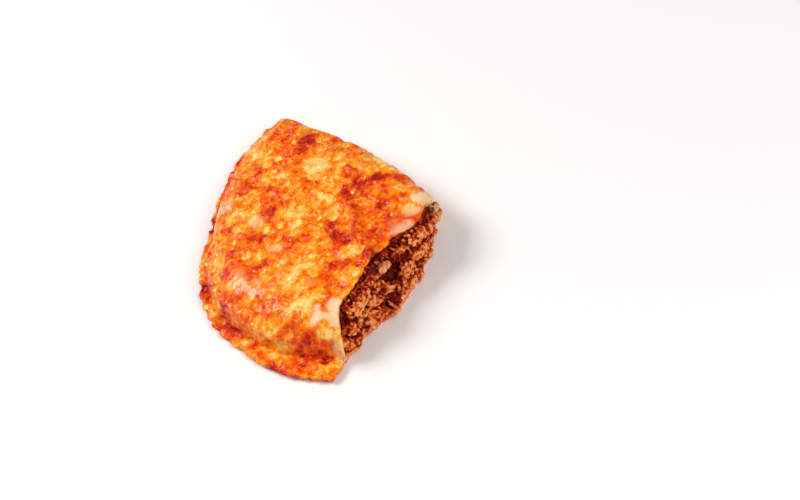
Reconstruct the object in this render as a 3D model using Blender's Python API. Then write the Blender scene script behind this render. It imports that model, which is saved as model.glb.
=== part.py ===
"""Half of a cheburek: a folded, crimped and fried sheet of dough with minced meat inside.

The pie lies flat.  Its folded edge runs along +Y, the crimped rim bows out towards -X, and the
torn side with the filling faces -Y.  Lengths below are millimetres from the corner where the
fold meets the tear; the finished solids are in metres, centred in plan, resting on Z = 0.
"""

import math

import bpy
import numpy as np

MM = 0.001

# Plan outline
FOLD_LENGTH = 115.0
FOLD_BOW = 4.0
CUT_TURN = math.radians(107.0)
ARC_RADIUS = 108.0
# Distance from the corner to the rim, at equal turns from the folded edge to the tear
RIM_REACH = (115.6, 116.0, 113.6, 111.9, 114.2, 113.4, 108.4, 104.2, 97.5)
# Width of the pressed rim at the same turns
RIM_WIDTH = (4.2, 3.8, 3.5, 3.5, 4.2, 4.6, 6.2, 9.0, 10.5)
# Height of the middle of the pressed rim at the same turns
RIM_LIFT = (1.5, 1.5, 1.5, 1.5, 1.6, 1.7, 1.9, 2.3, 2.6)
RIM_THICKNESS = 2.6
FLUTE_PITCH = 7.6
FLUTE_DEPTH = 1.5
FAR_FLUTE_SHARE = 0.45
FLUTE_PRESS = 0.45
LIP_ROUND = 1.3
FOLD_LIP_ROUND = 2.5

# Swollen body
BODY_HEIGHT = 23.0
TIP_HEIGHT = 12.5
FOLD_ROUND = 15.0
WALL_ROUND = 22.0
WALL_FOOT = 3.2
WALL_START = 0.15
DOUGH = 2.2
FOLD_END_DOUGH = 5.5
FOLD_END_REACH = 18.0
RIM_DOUGH = 2.4
TIP_DOUGH = 12.0
FILLING_GAP = 0.75
ROOF_CREASE_WIDTH = 1.5
ROOF_CREASE_DEPTH = 0.5
SLOW_WAVE = 0.7
QUICK_WAVE = 0.35
UNDERSIDE_ROUND = 4.0

# Torn side: how far each edge stands off the straight tear line, from fold to rim
UPPER_TEAR = (0.0, -0.8, -5.0, -3.6, 1.2, 2.0, 4.2, 5.0, 4.4, 5.4, 5.4, 1.2, -0.4, 0.0)
LOWER_TEAR = (0.0, 0.6, -2.0, -5.2, -6.8, -7.6, -7.6, -6.0, -3.6, -1.2, 0.3, 1.0, -0.4, 0.0)
TEAR_FADE = 0.30

# Grid: lines from the fold to the rim, and points along each line.  A zone holds fixed
# distances from one end of the line; the points between the zones are evenly spaced.
STATIONS = 92
POCKET_STATIONS = 26
FILLING_STATIONS = 9
FACE_ROWS = 14
FOLD_ZONE = (0.0, 0.6, 2.2, 5.2, 10.0)
RIM_ZONE = (16.5, 13.5, 11.0, 8.2, 6.2, 4.8, 3.2, 1.2, 0.35, 0.0)
LOWER_RIM_ZONE = (11.0, 6.5, 1.3, 0.4, 0.0)
POCKET_FOLD_ZONE = (0.0, 0.5, 2.0, 5.0, 9.5)
POCKET_RIM_ZONE = (9.0, 4.5, 1.8, 0.5, 0.0)
SHORT_LINE = 46.0
UPPER_STEPS = 13
LOWER_STEPS = 6
POCKET_STEPS = 20
FILLING_STEPS = 44

# Crests and hollows of the upper skin: end points, height and half width
CRESTS = (
    ((-43.5, -12.0), (-38.5, 5.0), 3.4, 2.6),
    ((-37.0, 8.5), (-26.0, 29.0), 1.6, 2.3),
    ((-48.5, -8.0), (-56.0, 7.0), -1.3, 3.6),
    ((-59.5, 9.5), (-68.0, 16.0), -0.9, 3.4),
    ((-31.0, 31.0), (-8.0, 31.0), -0.8, 3.0),
    ((-92.5, -6.0), (-85.5, -25.0), -1.0, 2.2),
)

# Large blisters: centre, radius and height
BLISTERS = (
    (-59.4, 58.2, 6.0, 1.1),
    (-73.6, 17.6, 7.0, 1.0),
    (-18.6, 62.7, 5.5, 1.1),
    (-82.5, -18.5, 7.0, 3.2),
    (-61.4, 77.5, 6.5, 0.8),
    (-20.9, -3.0, 9.0, 1.2),
    (-94.0, -14.0, 4.5, 1.1),
    (-33.0, 44.0, 5.0, 0.9),
    (-52.0, 38.0, 5.5, 0.9),
    (-14.0, 14.0, 7.0, 1.1),
    (-84.0, 45.0, 5.0, 0.8),
    (-36.0, 86.0, 6.0, 0.8),
)
SMALL_BLISTERS = 120
SMALL_BLISTER_REACH = 112.0
SMALL_BLISTER_RADIUS = (2.6, 4.6)
SMALL_BLISTER_HEIGHT = (0.35, 0.75)

# Minced meat
CRUMBS = 80
CRUMB_SPAN = (-84.0, -6.0)
CRUMB_HEIGHTS = (2.0, 21.0)
CRUMB_RADIUS = (2.4, 4.8)
CRUMB_REACH = 4.2
CRUMB_BULGE = 3.6
UPPER_RECESS = 0.4
LOWER_RECESS = 0.3


def remove_everything():
    for item in list(bpy.data.objects):
        bpy.data.objects.remove(item, do_unlink=True)


def smooth(value):
    """Ramp from 0 to 1 with level ends."""
    part = np.clip(value, 0.0, 1.0)
    return part * part * (3.0 - 2.0 * part)


def arch(value):
    """Quarter ellipse: steep at 0, level from 1 on."""
    part = 1.0 - np.clip(value, 0.0, 1.0)
    return np.sqrt(np.maximum(1.0 - part * part, 0.0))


def along(table, part):
    """Smooth curve through equally spaced values, read at a fraction of its length."""
    values = np.asarray(table, dtype=float)
    last = len(values) - 1
    place = np.clip(part, 0.0, 1.0) * last
    low = np.minimum(place.astype(int), last - 1)
    step = place - low
    before = values[np.maximum(low - 1, 0)]
    here = values[low]
    after = values[low + 1]
    beyond = values[np.minimum(low + 2, last)]
    bend = 2.0 * before - 5.0 * here + 4.0 * after - beyond
    twist = 3.0 * here - before - 3.0 * after + beyond
    return here + 0.5 * step * ((after - before) + step * (bend + step * twist))


def turn_of(x, y):
    """Fraction of the way round the corner, 0 at the fold and 1 at the tear."""
    return np.clip(np.arctan2(-x, y) / CUT_TURN, 0.0, 1.0)


def flutes(turn):
    """Scallops of the crimped rim: round outwards, pinched inwards, weaker near the tip."""
    length = turn * CUT_TURN * ARC_RADIUS
    wander = 1.6 * np.sin(length / 17.0) + 1.1 * np.sin(length / 7.3 + 1.0)
    wave = np.abs(np.sin(np.pi * (length + wander) / FLUTE_PITCH))
    ends = smooth(turn / 0.04) * smooth((1.0 - turn) / 0.03)
    far = FAR_FLUTE_SHARE + (1.0 - FAR_FLUTE_SHARE) * smooth((turn - 0.4) / 0.2)
    return FLUTE_DEPTH * far * (wave ** 0.7 - 0.6) * ends


def fold_line(y):
    """How far the folded edge bows out at a height along it."""
    return FOLD_BOW * np.sin(np.pi * np.clip(y / 90.0, 0.0, 1.0))


def fold_distance(x, y):
    return np.maximum(fold_line(y) - x, 0.0)


def rim_distance(x, y, fluted):
    turn = turn_of(x, y)
    reach = along(RIM_REACH, turn)
    if fluted:
        reach = reach + flutes(turn)
    return np.maximum(reach - np.hypot(x, y), 0.0)


def dome(x, y, middle_x, middle_y, radius):
    """Round cushion of unit height."""
    away = np.hypot(x - middle_x, y - middle_y) / radius
    return smooth(1.0 - away) ** 0.8


def crest(x, y, start, end, width):
    """Soft ridge of unit height along a straight line, fading at both ends."""
    run = np.subtract(end, start)
    size = float(np.hypot(run[0], run[1]))
    part = ((x - start[0]) * run[0] + (y - start[1]) * run[1]) / (size * size)
    held = np.clip(part, 0.0, 1.0)
    away = np.hypot(x - start[0] - held * run[0], y - start[1] - held * run[1])
    return np.exp(-((away / width) ** 2))


def level(y):
    """Height over the middle of the pie, from the tear to the tip."""
    return BODY_HEIGHT + (TIP_HEIGHT - BODY_HEIGHT) * smooth((y + 5.0) / 135.0)


def body_height(x, y):
    """Height of the swollen body before it falls to the fold and the rim."""
    slow = np.sin(x / 11.0 + 0.6) * np.sin(y / 13.0 + 0.4)
    quick = np.sin(x / 6.1 - y / 9.0 + 1.3)
    return level(y) + SLOW_WAVE * slow + QUICK_WAVE * quick


def seam_height(x, y):
    """Height of the line where upper and lower sheets meet, from the fold to the rim."""
    rim = along(RIM_LIFT, turn_of(x, y))
    middle = 0.5 * level(y)
    fold = middle + (rim - middle) * smooth((y - 70.0) / 42.0)
    from_fold = fold_distance(x, y)
    from_rim = rim_distance(x, y, False)
    share = from_fold / np.maximum(from_fold + from_rim, 0.01)
    return fold + (rim - fold) * smooth(share)


def fold_dough(y):
    """Thickness of dough at the fold, greater where the torn end has closed up."""
    return DOUGH + (FOLD_END_DOUGH - DOUGH) * smooth(1.0 - y / FOLD_END_REACH)


def wall_rise(x, y, fold_inset, rim_inset):
    """1 over the body, falling to 0 at the fold and at the inner side of the pressed rim."""
    turn = turn_of(x, y)
    round_fold = FOLD_ROUND * (1.0 - 0.4 * smooth((y - 40.0) / 70.0))
    from_fold = (fold_distance(x, y) - fold_inset) / (round_fold - fold_inset)
    start = along(RIM_WIDTH, turn) + rim_inset
    from_rim = (rim_distance(x, y, False) - start) / (WALL_ROUND - rim_inset)
    return arch(from_fold) * arch(from_rim)


def crest_relief(x, y):
    """Crests, creases and large blisters of the upper skin."""
    relief = np.zeros_like(x)
    for start, end, height, width in CRESTS:
        relief = relief + height * crest(x, y, start, end, width)
    for middle_x, middle_y, radius, height in BLISTERS:
        relief = relief + height * dome(x, y, middle_x, middle_y, radius)
    return relief


def roof_creases(x, y):
    """The creases alone, wider and shallower, for the pocket roof under them."""
    sunk = np.zeros_like(x)
    for start, end, height, width in CRESTS:
        if height < 0.0:
            sunk = sunk + ROOF_CREASE_DEPTH * height * crest(x, y, start, end, ROOF_CREASE_WIDTH * width)
    return sunk


def small_blisters(x, y):
    """Scattered cushions of a few millimetres, the tallest one winning."""
    relief = np.zeros_like(x)
    draw = np.random.default_rng(11)
    for _ in range(SMALL_BLISTERS):
        turn = draw.uniform(0.0, CUT_TURN)
        reach = SMALL_BLISTER_REACH * math.sqrt(draw.uniform(0.0, 1.0))
        radius = draw.uniform(*SMALL_BLISTER_RADIUS)
        height = draw.uniform(*SMALL_BLISTER_HEIGHT)
        middle_x = -reach * math.sin(turn)
        middle_y = reach * math.cos(turn)
        relief = np.maximum(relief, height * dome(x, y, middle_x, middle_y, radius))
    return relief


def lip(x, y):
    """Half the thickness of the rim, and the rounding that brings it to 0 at every edge."""
    edge = arch(fold_distance(x, y) / FOLD_LIP_ROUND) * arch(rim_distance(x, y, True) / LIP_ROUND)
    return 0.5 * RIM_THICKNESS * edge, edge


def outer_top(x, y):
    """Upper skin: the pressed rim rising to the swollen body, with its blisters."""
    thick, edge = lip(x, y)
    from_rim = rim_distance(x, y, False) - along(RIM_WIDTH, turn_of(x, y))
    rise = wall_rise(x, y, 0.0, 0.0) * smooth(WALL_START + from_rim / WALL_FOOT)
    press = FLUTE_PRESS * np.cos(2.0 * np.pi * turn_of(x, y) * CUT_TURN * ARC_RADIUS / FLUTE_PITCH)
    base = seam_height(x, y) + thick + press * edge * (1.0 - rise)
    top = base + (body_height(x, y) - base) * rise
    return top + (crest_relief(x, y) + small_blisters(x, y)) * edge * (0.35 + 0.65 * rise)


def outer_bottom(x, y):
    """Lower skin: the pressed rim falling to the flat underside."""
    seam = seam_height(x, y)
    thick, _ = lip(x, y)
    from_fold = fold_distance(x, y) / (0.9 * np.maximum(seam, 2.0))
    from_rim = (rim_distance(x, y, False) - along(RIM_WIDTH, turn_of(x, y))) / UNDERSIDE_ROUND
    return (seam - thick) * (1.0 - arch(from_fold) * arch(from_rim))


def pocket_seam(x, y, inset):
    """Height at which roof and floor of the pocket meet, clear of the underside."""
    return np.maximum(seam_height(x, y), DOUGH + inset + 0.3)


def pocket_top(x, y, inset):
    """Roof of the pocket: the body less the dough, sunk where the skin above it is sunk."""
    seam = pocket_seam(x, y, inset)
    ceiling = body_height(x, y) + roof_creases(x, y) - DOUGH - inset
    rise = wall_rise(x, y, fold_dough(y) + inset, RIM_DOUGH + inset)
    return seam + np.maximum(ceiling - seam, 0.0) * rise


def pocket_bottom(x, y, inset):
    """Floor of the pocket, one thickness of dough above the underside."""
    seam = pocket_seam(x, y, inset)
    rise = wall_rise(x, y, fold_dough(y) + inset, RIM_DOUGH + inset)
    return seam - (seam - DOUGH - inset) * rise ** 0.5


def ruled(stations, parts, inside, inset):
    """Plan points on straight lines from the fold to the rim.

    Lines run from the tear (first row) to the tip (last row); parts gives, for each line's
    length, the fractions at which its points lie.  Inside, they keep clear of the pressed rim
    and of the dough at the fold.  Returned: each line's fraction of the way to the tip, the
    fractions along the lines, each point's share of the whole line, and the points.
    """
    way = np.linspace(0.0, 1.0, stations + 1)[:, None]
    turn = 1.0 - way
    angle = turn * CUT_TURN
    tip = FOLD_LENGTH - inside * (TIP_DOUGH + inset)
    fold_y = tip * way
    fold_x = fold_line(fold_y) - inside * (fold_dough(fold_y) + inset)
    whole = along(RIM_REACH, turn)
    if inside:
        reach = whole - along(RIM_WIDTH, turn) - RIM_DOUGH - inset
    else:
        reach = whole + flutes(turn)
    last = way == 1.0
    far_x = np.where(last, fold_x, -reach * np.sin(angle))
    far_y = np.where(last, fold_y, reach * np.cos(angle))
    part = parts(np.hypot(far_x - fold_x, far_y - fold_y))
    x = fold_x + (far_x - fold_x) * part
    y = fold_y + (far_y - fold_y) * part
    edge_x = fold_line(fold_y)
    full = np.hypot(-whole * np.sin(angle) - edge_x, whole * np.cos(angle) - fold_y)
    share = np.hypot(x - edge_x, y - fold_y) / np.maximum(full, 1.0)
    return way, part, share, x, y


def shell_parts(fold_zone, rim_zone, inner):
    """Point spacing that keeps fixed distances near both ends of every line."""
    def spread(width):
        scale = np.minimum(1.0, width / SHORT_LINE)
        from_fold = np.asarray(fold_zone)[None, :] * scale
        to_rim = np.asarray(rim_zone)[None, :] * scale
        start = from_fold[:, -1:]
        stop = width - to_rim[:, :1]
        share = (np.arange(1, inner) / inner)[None, :]
        middle = start + (stop - start) * share
        places = np.hstack([from_fold, middle, width - to_rim])
        return places / np.maximum(width, 1e-9)
    return spread


def torn(way, share, y, table):
    """Move the first lines along Y to the torn edge."""
    return y + along(table, share) * smooth(1.0 - way / TEAR_FADE)


def grid_faces(index):
    """Quads over a grid of vertex numbers, triangles where neighbours coincide."""
    faces = []
    for row in range(index.shape[0] - 1):
        for column in range(index.shape[1] - 1):
            ring = (
                index[row, column],
                index[row, column + 1],
                index[row + 1, column + 1],
                index[row + 1, column],
            )
            unique = []
            for corner in ring:
                if corner not in unique:
                    unique.append(int(corner))
            if len(unique) > 2:
                faces.append(unique)
    return faces


def zip_loops(first, second, first_at, second_at):
    """Triangles between two rows of vertices, matched by their fractions of the way along."""
    faces = []
    i = 0
    j = 0
    while i < len(first) - 1 or j < len(second) - 1:
        step_first = j == len(second) - 1
        if not step_first and i < len(first) - 1:
            step_first = first_at[i + 1] <= second_at[j + 1]
        if step_first:
            faces.append([int(first[i]), int(second[j]), int(first[i + 1])])
            i += 1
        else:
            faces.append([int(first[i]), int(second[j]), int(second[j + 1])])
            j += 1
    return faces


class Skin:
    """Collects points and faces of one closed body."""

    def __init__(self):
        self.points = []
        self.faces = []
        self.count = 0

    def sheet(self, x, y, z, shared=None):
        """Add a grid; a second sheet shares its border columns and tip with the first."""
        rows, columns = x.shape
        index = np.zeros((rows, columns), dtype=int)
        for row in range(rows):
            for column in range(columns):
                if shared is not None and column == 0:
                    index[row, column] = shared[row, 0]
                elif shared is not None and column == columns - 1:
                    index[row, column] = shared[row, -1]
                elif shared is not None and row == rows - 1:
                    index[row, column] = shared[row, 0]
                elif row == rows - 1 and column > 0:
                    index[row, column] = index[row, 0]
                else:
                    self.points.append((x[row, column], y[row, column], z[row, column]))
                    index[row, column] = self.count
                    self.count += 1
        return index

    def wall(self, x, y, z, foot, head):
        """Add a grid whose first and last rows and border columns are points already there."""
        rows, columns = x.shape
        index = np.zeros((rows, columns), dtype=int)
        for row in range(rows):
            for column in range(columns):
                if row == 0 or column in (0, columns - 1):
                    index[row, column] = foot[column]
                elif row == rows - 1:
                    index[row, column] = head[column]
                else:
                    self.points.append((x[row, column], y[row, column], z[row, column]))
                    index[row, column] = self.count
                    self.count += 1
        return index

    def add(self, faces, flip=False):
        """Add faces, turned outwards by flip."""
        for face in faces:
            self.faces.append(face if flip else face[::-1])


def build_object(name, skin, material, centre):
    points = [((p[0] - centre[0]) * MM, (p[1] - centre[1]) * MM, p[2] * MM) for p in skin.points]
    mesh = bpy.data.meshes.new(name)
    mesh.from_pydata(points, [], skin.faces)
    mesh.materials.append(material)
    mesh.validate()
    mesh.update()
    body = bpy.data.objects.new(name, mesh)
    bpy.context.scene.collection.objects.link(body)
    return body


def make_material(name, colour, roughness):
    material = bpy.data.materials.new(name)
    material.use_nodes = True
    shader = material.node_tree.nodes["Principled BSDF"]
    shader.inputs["Base Color"].default_value = (*colour, 1.0)
    shader.inputs["Roughness"].default_value = roughness
    shader.inputs["Metallic"].default_value = 0.0
    return material


def crust_skin():
    """Upper and lower skin, the pocket inside, and the two torn edges that join them."""
    skin = Skin()
    spacing = shell_parts(FOLD_ZONE, RIM_ZONE, UPPER_STEPS)
    way, _, share, x, flat_y = ruled(STATIONS, spacing, 0, 0.0)
    upper_share = share[0]
    upper = skin.sheet(x, torn(way, share, flat_y, UPPER_TEAR), outer_top(x, flat_y))
    skin.add(grid_faces(upper))

    spacing = shell_parts(FOLD_ZONE, LOWER_RIM_ZONE, LOWER_STEPS)
    way, _, share, x, flat_y = ruled(STATIONS, spacing, 0, 0.0)
    lower_share = share[0]
    lower = skin.sheet(x, torn(way, share, flat_y, LOWER_TEAR), outer_bottom(x, flat_y), upper)
    skin.add(grid_faces(lower), flip=True)

    spacing = shell_parts(POCKET_FOLD_ZONE, POCKET_RIM_ZONE, POCKET_STEPS)
    way, _, share, x, flat_y = ruled(POCKET_STATIONS, spacing, 1, 0.0)
    pocket_share = share[0]
    roof = skin.sheet(x, torn(way, share, flat_y, UPPER_TEAR), pocket_top(x, flat_y, 0.0))
    skin.add(grid_faces(roof), flip=True)
    bed = skin.sheet(x, torn(way, share, flat_y, LOWER_TEAR), pocket_bottom(x, flat_y, 0.0), roof)
    skin.add(grid_faces(bed))

    skin.add(zip_loops(upper[0], roof[0], upper_share, pocket_share))
    skin.add(zip_loops(lower[0], bed[0], lower_share, pocket_share), flip=True)
    return skin


def crumbs(x, z):
    """How far the minced meat bulges out of the torn side: the tallest of many round lumps."""
    draw = np.random.default_rng(23)
    out = np.zeros_like(x)
    for _ in range(CRUMBS):
        middle_x = draw.uniform(*CRUMB_SPAN)
        middle_z = draw.uniform(*CRUMB_HEIGHTS)
        radius = draw.uniform(*CRUMB_RADIUS)
        away = np.hypot(x - middle_x, z - middle_z) / radius
        lump = np.sqrt(np.maximum(1.0 - away * away, 0.0)) * draw.uniform(0.5, 1.0)
        out = np.maximum(out, lump * radius / CRUMB_RADIUS[1])
    return CRUMB_REACH * out


def filling_skin():
    """The loaf of mince: roof and bed a gap inside the pocket, and its crumbly torn face."""
    skin = Skin()
    spacing = shell_parts(POCKET_FOLD_ZONE, POCKET_RIM_ZONE, FILLING_STEPS)
    way, part, share, x, flat_y = ruled(FILLING_STATIONS, spacing, 1, FILLING_GAP)
    near_tear = smooth(1.0 - way / TEAR_FADE)
    top_y = torn(way, share, flat_y, UPPER_TEAR) + UPPER_RECESS * near_tear
    top = pocket_top(x, flat_y, FILLING_GAP)
    upper = skin.sheet(x, top_y, top)
    skin.add(grid_faces(upper))
    bed_y = torn(way, share, flat_y, LOWER_TEAR) + LOWER_RECESS * near_tear
    bottom = pocket_bottom(x, flat_y, FILLING_GAP)
    lower = skin.sheet(x, bed_y, bottom, upper)
    skin.add(grid_faces(lower), flip=True)

    climb = np.linspace(0.0, 1.0, FACE_ROWS + 1)[:, None]
    face_x = x[0] + 0.0 * climb
    face_y = bed_y[0] + (top_y[0] - bed_y[0]) * climb
    face_z = bottom[0] + (top[0] - bottom[0]) * climb
    edge = np.minimum(np.minimum(climb, 1.0 - climb) * 6.0, 1.0)
    side = smooth(np.minimum(part[0], 1.0 - part[0]) * 14.0)
    reach = crumbs(face_x, face_z) + CRUMB_BULGE * np.sin(np.pi * climb)
    face_y = face_y - reach * edge * side
    index = skin.wall(face_x, face_y, face_z, lower[0], upper[0])
    skin.add(grid_faces(index))
    return skin


def plan_centre(skins):
    """Middle of the box round all the points."""
    points = np.array([p for skin in skins for p in skin.points])
    return 0.5 * (points.min(axis=0) + points.max(axis=0))


def main():
    remove_everything()
    crust = crust_skin()
    filling = filling_skin()
    centre = plan_centre((crust, filling))
    crust_material = make_material("fried_dough", (0.80, 0.27, 0.03), 0.35)
    filling_material = make_material("minced_meat", (0.26, 0.11, 0.06), 0.6)
    build_object("crust", crust, crust_material, centre)
    build_object("filling", filling, filling_material, centre)


main()
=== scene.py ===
# %% [markdown]
# # Half of a cheburek
# A cheburek is a disc of thin dough folded over minced meat, crimped along its round edge and
# fried in deep oil.  This is the bigger half of one torn across.  Its looks rest on three
# things: the sheet of dough that blistered in the oil, the browning that follows the
# blisters, and the crumbly meat at the tear.  Every length below is in millimetres from the
# corner where the fold meets the tear, until it is put into a mesh.

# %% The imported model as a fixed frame
import math
import bpy
import bmesh
import numpy as np
from mathutils import Matrix, Vector


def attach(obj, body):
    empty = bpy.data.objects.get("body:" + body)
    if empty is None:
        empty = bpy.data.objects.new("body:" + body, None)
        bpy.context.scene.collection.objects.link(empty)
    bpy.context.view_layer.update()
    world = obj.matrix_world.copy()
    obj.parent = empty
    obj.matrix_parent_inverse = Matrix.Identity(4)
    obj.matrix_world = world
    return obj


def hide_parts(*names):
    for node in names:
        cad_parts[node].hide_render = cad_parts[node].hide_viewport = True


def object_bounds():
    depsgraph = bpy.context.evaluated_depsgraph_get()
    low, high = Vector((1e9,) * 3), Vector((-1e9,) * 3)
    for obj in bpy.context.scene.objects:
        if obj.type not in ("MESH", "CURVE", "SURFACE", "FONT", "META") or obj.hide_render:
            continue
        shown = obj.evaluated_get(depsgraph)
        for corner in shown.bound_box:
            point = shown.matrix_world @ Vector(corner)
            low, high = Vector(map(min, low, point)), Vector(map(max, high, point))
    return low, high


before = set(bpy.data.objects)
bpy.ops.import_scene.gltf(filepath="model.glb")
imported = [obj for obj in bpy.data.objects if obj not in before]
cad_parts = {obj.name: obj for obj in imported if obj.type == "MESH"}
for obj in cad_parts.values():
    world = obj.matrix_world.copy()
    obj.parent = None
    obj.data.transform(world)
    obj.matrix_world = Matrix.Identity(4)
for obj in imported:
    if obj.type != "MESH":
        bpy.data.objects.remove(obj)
cad_low, cad_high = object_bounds()
MM = 0.001
print("solids span", [round(v / MM, 1) for v in cad_high - cad_low], "mm")

# %% [markdown]
# ## Small tools
# A curve through a few equally spaced values describes anything that changes slowly along
# the pie, such as the width of its rim.  Two ramps do the rest: one with level ends for
# fades, and a quarter of an ellipse for the round shoulders of the dough.

# %% Ramps and curves


def smooth(value):
    """3t^2 - 2t^3 of the value held between 0 and 1: a ramp with level ends."""
    part = np.clip(value, 0, 1)
    return part * part * (3.0 - 2.0 * part)


def arch(value):
    """Root of 1 - (1 - t)^2: a quarter ellipse, steep at 0 and level from 1 on."""
    part = 1 - np.clip(value, 0, 1)
    return np.sqrt(np.maximum(1 - part * part, 0.0))


def along(table, part):
    """Catmull-Rom curve through equally spaced values, read at a fraction of its length."""
    values = np.asarray(table, dtype=float)
    last = len(values) - 1
    place = np.clip(part, 0, 1) * last
    low = np.minimum(place.astype(int), last - 1)
    step = place - low
    before = values[np.maximum(low - 1, 0)]
    here = values[low]
    after = values[low + 1]
    beyond = values[np.minimum(low + 2, last)]
    bend = 2.0 * before - 5.0 * here + 4.0 * after - beyond
    twist = 3.0 * here - before - 3.0 * after + beyond
    return here + 0.5 * step * ((after - before) + step * (bend + step * twist))


def mix(first, second, part):
    """First at 0 and second at 1, in a straight line between."""
    return first + (second - first) * part


print("half way up the shoulder:", round(float(arch(0.5)), 3))

# %% [markdown]
# ## Chance that is the same on every run
# Fried dough has no straight line on it, so nearly every shape below needs some chance.  A
# hash gives each cell of a cubic grid a number of its own, worked out from the cell's place.
# Smoothed between cells it becomes noise.  Used as the middle and size of a ball in each
# cell it becomes blisters, which are round on any slope because they are cut from balls.

# %% Hash, noise and blisters
HASH_TURN = np.array((127.1, 311.7, 74.7))
HASH_SALT = 17.31
HASH_SCALE = 43758.5453


def chance(cells, salt):
    """Fraction of a large sine of the cell's place: one number from 0 to 1 for each cell."""
    value = np.sin(cells @ HASH_TURN + HASH_SALT * salt) * HASH_SCALE
    return value - np.floor(value)


def noise(points, size, salt):
    """Chance at the eight corners of the cell, blended smoothly: -1 to 1."""
    place = points / size
    low = np.floor(place)
    part = smooth(place - low)
    total = np.zeros(len(points))
    for corner in np.ndindex(2, 2, 2):
        offset = np.array(corner, dtype=float)
        weight = np.prod(np.where(offset > 0.5, part, 1 - part), axis=1)
        total += weight * chance(low + offset, salt)
    return 2.0 * total - 1.0


def rough(points, size, salt, layers=3):
    """Noise plus half as much at half the size, and so on."""
    total = np.zeros(len(points))
    for layer in range(layers):
        total += noise(points, size / 2 ** layer, salt + layer) / 2 ** layer
    return total / (2.0 - 2.0 ** (1 - layers))


def bubbles(points, size, salt, small=0.28, large=0.52, share=1.0):
    """Height and chance of the tallest ball at each point, over the 27 cells around it.

    One ball sits in each cell, off its middle by up to a quarter of the cell.  Its height at
    a point is radius * root(1 - (distance / radius)^2), and a share of the cells have none.
    """
    place = points / size
    home = np.floor(place)
    height = np.zeros(len(points))
    label = np.zeros(len(points))
    for step in np.ndindex(3, 3, 3):
        cell = home + np.array(step, dtype=float) - 1.0
        jitter = [chance(cell, salt + k) for k in (1, 2, 3)]
        middle = cell + 0.5 + 0.5 * (np.stack(jitter, axis=1) - 0.5)
        radius = mix(small, large, chance(cell, salt + 4))
        radius = np.where(chance(cell, salt + 5) < share, radius, 1e-6)
        away = np.linalg.norm(place - middle, axis=1) / radius
        here = radius * np.sqrt(np.maximum(1 - away * away, 0.0))
        taller = here > height
        height = np.where(taller, here, height)
        label = np.where(taller, chance(cell, salt + 6), label)
    return height * size, label


sample = noise(np.random.default_rng(1).uniform(0.0, 60.0, (2000, 3)), 5.0, 1)
print("noise runs from", sample.min().round(2), "to", sample.max().round(2))

# %% [markdown]
# ## The outline of the pie
# The plan is a sector of the half moon: a straight folded edge, a round crimped rim and the
# tear.  It could be drawn as a curve and filled.  Here each point is found instead on a
# straight line from the fold to the rim, one line for each station from the tear to the tip,
# so that two fractions, way and part, name any place on the dough.  These shapes are the
# same as the solid's, so the skin stays where the solid is.

# %% Sizes of the outline
FOLD_LENGTH = 115.0
FOLD_BOW = 4.0
CUT_TURN = math.radians(107.0)
ARC_RADIUS = 108.0
RIM_REACH = (115.6, 116.0, 113.6, 111.9, 114.2, 113.4, 108.4, 104.2, 97.5)
RIM_WIDTH = (4.2, 3.8, 3.5, 3.5, 4.2, 4.6, 6.2, 9.0, 10.5)
RIM_LIFT = (1.5, 1.5, 1.5, 1.5, 1.6, 1.7, 1.9, 2.3, 2.6)
RIM_THICKNESS = 2.6
FLUTE_PITCH = 7.6
FLUTE_DEPTH = 1.5
CORNER = np.array((
    cad_high.x / MM - FOLD_BOW,
    cad_low.y / MM + RIM_REACH[-1] * math.sin(CUT_TURN - math.pi / 2.0),
    0.0,
))
print("corner of fold and tear at", CORNER.round(2), "mm in the frame")


def turn_of(x, y):
    """Angle round the corner from the fold, as a share of the whole sector."""
    return np.clip(np.arctan2(-x, y) / CUT_TURN, 0, 1)


def flutes(turn):
    """Row of sine arches along the rim: round outwards, pinched inwards, of uneven pitch."""
    length = turn * CUT_TURN * ARC_RADIUS
    wander = 1.6 * np.sin(length / 17.0) + 1.1 * np.sin(length / 7.3 + 1.0)
    wave = np.abs(np.sin(np.pi * (length + wander) / FLUTE_PITCH))
    ends = smooth(turn / 0.04) * smooth((1 - turn) / 0.03)
    depth = FLUTE_DEPTH * mix(0.45, 1.0, smooth((turn - 0.4) / 0.2))
    return depth * (wave ** 0.7 - 0.6) * ends


def fold_line(y):
    """Half a sine wave: how far the folded edge bows out."""
    return FOLD_BOW * np.sin(np.pi * np.clip(y / 90.0, 0, 1))


def fold_distance(x, y):
    """How far a point lies inside the folded edge."""
    return np.maximum(fold_line(y) - x, 0.0)


def rim_distance(x, y, fluted):
    """How far a point lies inside the rim, with or without its flutes."""
    turn = turn_of(x, y)
    reach = along(RIM_REACH, turn) + (flutes(turn) if fluted else 0.0)
    return np.maximum(reach - np.hypot(x, y), 0.0)


# %% [markdown]
# ## The swollen body
# Steam blew the pie up, so it stands highest over the tear and sinks to the tip.  The
# height is one surface over the plan.  It falls along a quarter ellipse at the fold and
# along another at the inner side of the rim, where upper and lower sheet are pressed
# together on one line, the seam.

# %% Heights of the sheets
BODY_HEIGHT = 23.0
TIP_HEIGHT = 12.5
FOLD_ROUND = 15.0
WALL_ROUND = 22.0
WALL_FOOT = 3.2
WALL_START = 0.15
DOUGH = 2.2
FOLD_END_DOUGH = 5.5
FOLD_END_REACH = 18.0
RIM_DOUGH = 2.4
TIP_DOUGH = 12.0
FILLING_GAP = 0.75
UPPER_TEAR = (0.0, -0.8, -5.0, -3.6, 1.2, 2.0, 4.2, 5.0, 4.4, 5.4, 5.4, 1.2, -0.4, 0.0)
LOWER_TEAR = (0.0, 0.6, -2.0, -5.2, -6.8, -7.6, -7.6, -6.0, -3.6, -1.2, 0.3, 1.0, -0.4, 0.0)
TEAR_FADE = 0.30
RAGGED_FADE = 0.04


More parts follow.
